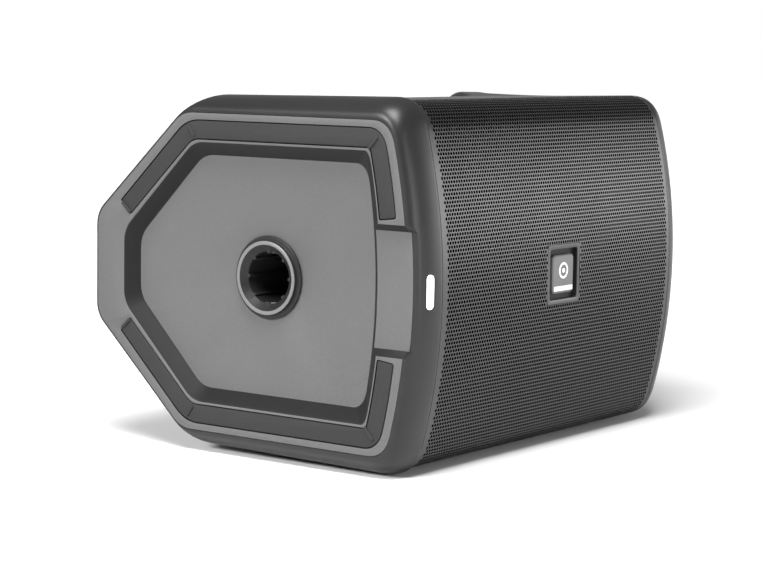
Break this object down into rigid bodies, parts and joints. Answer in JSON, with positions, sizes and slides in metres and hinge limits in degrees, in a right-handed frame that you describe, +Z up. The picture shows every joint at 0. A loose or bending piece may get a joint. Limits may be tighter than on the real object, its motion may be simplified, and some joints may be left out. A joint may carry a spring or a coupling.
{
  "type": "pa speaker",
  "caption": "Battery-powered PA speaker lying on its side, with a wrapped grille, recessed base with pole socket, rear mixer panel and top handle.",
  "frame": {"origin": "centre of the bounding box's bottom, on the surface the speaker lies on", "axes": "+X from the base to the top of the speaker, -Y the way the grille faces, +Z up with the speaker lying on its right side"},
  "size_m": [0.399, 0.291, 0.255],
  "materials": {
    "housing": "dark grey moulded polypropylene, fine satin texture",
    "base": "mid grey moulded polypropylene, fine grain",
    "grille": "dark grey powder-coated perforated steel",
    "badge": "grey satin metal plate with a pale printed ring and stripe",
    "rubber": "matt dark grey rubber",
    "socket": "matt near-black moulding",
    "light": "white translucent lens, lit",
    "control": "matt black moulding",
    "accent": "pale grey satin push button",
    "steel": "plain steel",
    "frame_metal": "black painted pressed steel",
    "board": "green circuit board laminate",
    "aluminium": "extruded, plain",
    "paper": "black coated paper cone and cloth",
    "copper": "copper winding and plated contacts"
  },
  "bodies": {
    "cabinet": {"bottom_cap": "housing", "rear_cabinet": "housing", "top_cap": "housing", "control_panel": "housing", "battery_bay": "housing", "front_baffle": "housing", "base_plate": "base", "grille": "grille", "badge_frame": "grille", "carry_handle": "rubber", "foot_left": "rubber", "foot_right": "rubber", "woofer_surround": "rubber", "pole_socket": "socket", "led_bar": "light", "combo_jack_1": "control", "combo_jack_2": "control", "instrument_jack": "control", "pass_through_jack": "control", "aux_jack": "control", "headphone_jack": "control", "mains_inlet": "control", "battery_pack": "control", "bass_port_left": "control", "bass_port_right": "control", "tweeter_waveguide": "control", "usb_port": "steel", "panel_screw_1": "steel", "panel_screw_2": "steel", "panel_screw_3": "steel", "panel_screw_4": "steel", "battery_door_pin": "steel", "woofer_magnet": "steel", "tweeter_driver": "steel", "woofer_basket": "frame_metal", "mixer_board": "board", "amplifier_board": "board", "power_supply": "board", "heat_sink": "aluminium", "woofer_spider": "paper", "battery_contacts": "copper"},
    "badge": {"badge_plate": "badge"},
    "master": {"master_knob": "control"},
    "channel_1": {"channel_1_knob": "control"},
    "channel_2": {"channel_2_knob": "control"},
    "channel_3": {"channel_3_knob": "control"},
    "channel_4": {"channel_4_knob": "control"},
    "bass": {"bass_knob": "control"},
    "treble": {"treble_knob": "control"},
    "reverb": {"reverb_knob": "control"},
    "pairing": {"pairing_button": "accent"},
    "phantom": {"phantom_button": "accent"},
    "power": {"power_button": "accent"},
    "release_1": {"release_tab_1": "steel"},
    "release_2": {"release_tab_2": "steel"},
    "cone": {"woofer_cone": "paper", "dust_cap": "paper", "voice_coil": "copper"},
    "door": {"battery_door": "housing"},
    "latch": {"battery_door_latch": "control"}
  },
  "joints": [
    {"name": "badge_turn", "type": "hinge", "parent": "cabinet", "child": "badge", "pos_m": [-0.0193, -0.1449, 0.1275], "axis": [0, -1, 0], "range_deg": [0, 90]},
    {"name": "master_turn", "type": "hinge", "parent": "cabinet", "child": "master", "pos_m": [0.1095, 0.137, 0.1275], "axis": [0, 1, 0], "continuous": true},
    {"name": "channel_1_turn", "type": "hinge", "parent": "cabinet", "child": "channel_1", "pos_m": [0.0845, 0.137, 0.1445], "axis": [0, 1, 0], "range_deg": [-150, 150]},
    {"name": "channel_2_turn", "type": "hinge", "parent": "cabinet", "child": "channel_2", "pos_m": [0.0845, 0.137, 0.1105], "axis": [0, 1, 0], "range_deg": [-150, 150]},
    {"name": "channel_3_turn", "type": "hinge", "parent": "cabinet", "child": "channel_3", "pos_m": [0.0605, 0.137, 0.1445], "axis": [0, 1, 0], "range_deg": [-150, 150]},
    {"name": "channel_4_turn", "type": "hinge", "parent": "cabinet", "child": "channel_4", "pos_m": [0.0605, 0.137, 0.1105], "axis": [0, 1, 0], "range_deg": [-150, 150]},
    {"name": "bass_turn", "type": "hinge", "parent": "cabinet", "child": "bass", "pos_m": [0.0365, 0.137, 0.1445], "axis": [0, 1, 0], "range_deg": [-150, 150]},
    {"name": "treble_turn", "type": "hinge", "parent": "cabinet", "child": "treble", "pos_m": [0.0365, 0.137, 0.1105], "axis": [0, 1, 0], "range_deg": [-150, 150]},
    {"name": "reverb_turn", "type": "hinge", "parent": "cabinet", "child": "reverb", "pos_m": [0.0125, 0.137, 0.1445], "axis": [0, 1, 0], "range_deg": [-150, 150]},
    {"name": "pairing_press", "type": "slide", "parent": "cabinet", "child": "pairing", "axis": [0, -1, 0], "range_m": [0, 0.0012], "stiffness_N_per_m": 800, "springref_m": -0.0008},
    {"name": "phantom_press", "type": "slide", "parent": "cabinet", "child": "phantom", "axis": [0, -1, 0], "range_m": [0, 0.0012], "stiffness_N_per_m": 800, "springref_m": -0.0008},
    {"name": "power_press", "type": "slide", "parent": "cabinet", "child": "power", "axis": [0, -1, 0], "range_m": [0, 0.0012], "stiffness_N_per_m": 800, "springref_m": -0.0008},
    {"name": "release_press_1", "type": "slide", "parent": "cabinet", "child": "release_1", "axis": [0, -1, 0], "range_m": [0, 0.0015], "stiffness_N_per_m": 900, "springref_m": -0.001},
    {"name": "release_press_2", "type": "slide", "parent": "cabinet", "child": "release_2", "axis": [0, -1, 0], "range_m": [0, 0.0015], "stiffness_N_per_m": 900, "springref_m": -0.001},
    {"name": "cone_travel", "type": "slide", "parent": "cabinet", "child": "cone", "axis": [0, -1, 0], "range_m": [-0.004, 0.004], "stiffness_N_per_m": 2500},
    {"name": "door_swing", "type": "hinge", "parent": "cabinet", "child": "door", "pos_m": [-0.1615, 0.1425, 0.1275], "axis": [0, 0, 1], "range_deg": [0, 110]},
    {"name": "latch_slide", "type": "slide", "parent": "door", "child": "latch", "axis": [-1, 0, 0], "range_m": [0, 0.0035], "stiffness_N_per_m": 300, "springref_m": -0.002}
  ]
}
